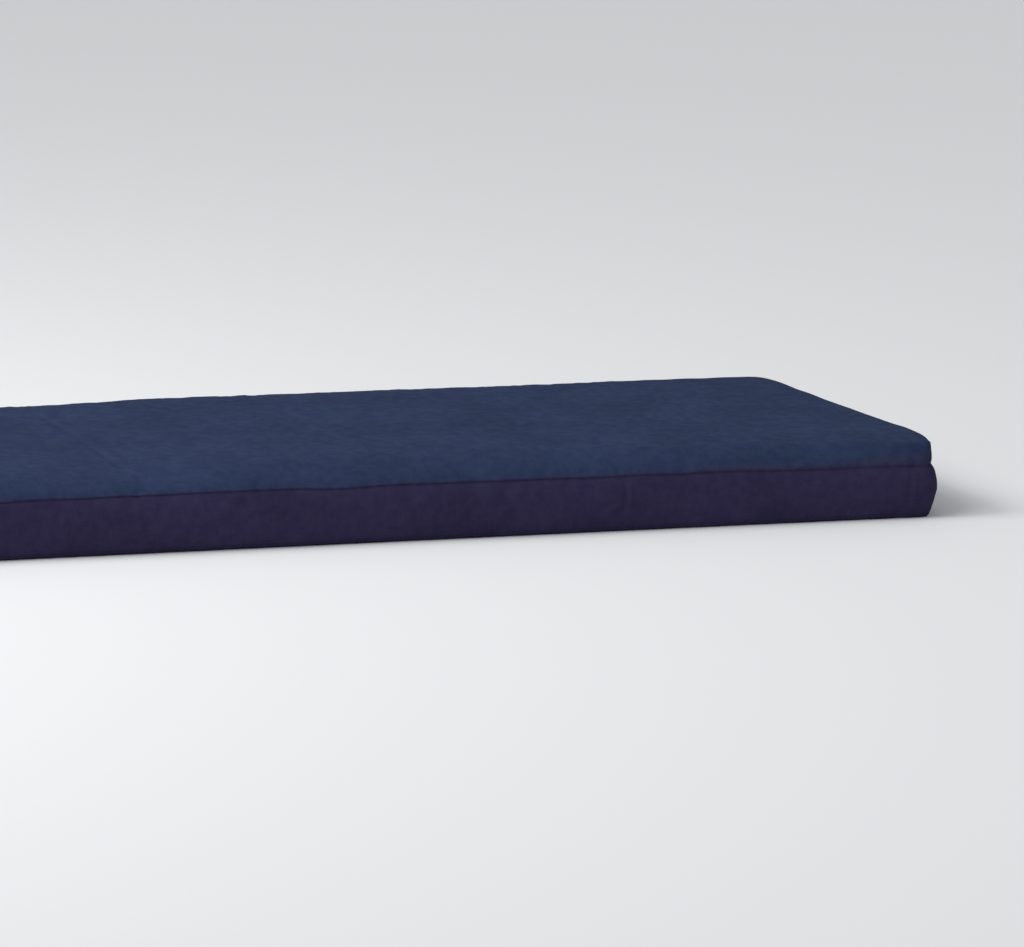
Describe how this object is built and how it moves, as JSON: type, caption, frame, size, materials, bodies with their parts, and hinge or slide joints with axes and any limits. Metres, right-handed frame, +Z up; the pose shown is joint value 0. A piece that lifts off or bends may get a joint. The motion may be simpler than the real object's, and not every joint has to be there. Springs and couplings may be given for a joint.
{
  "type": "bench cushion",
  "caption": "Long flat seat cushion for a garden bench: foam slab in plain navy canvas, with a crowned top panel, an upright side band, plain seams and rounded corners.",
  "frame": {"origin": "middle of the cushion's box, on the flat base that it lies on", "axes": "+X along the cushion to its right end, +Y from the front edge to the back edge, +Z up through its thickness"},
  "size_m": [1.6994, 0.4446, 0.0775],
  "materials": {
    "navy_canvas": "matte plain weave"
  },
  "bodies": {
    "root": {"cushion": "navy_canvas"}
  },
  "joints": []
}
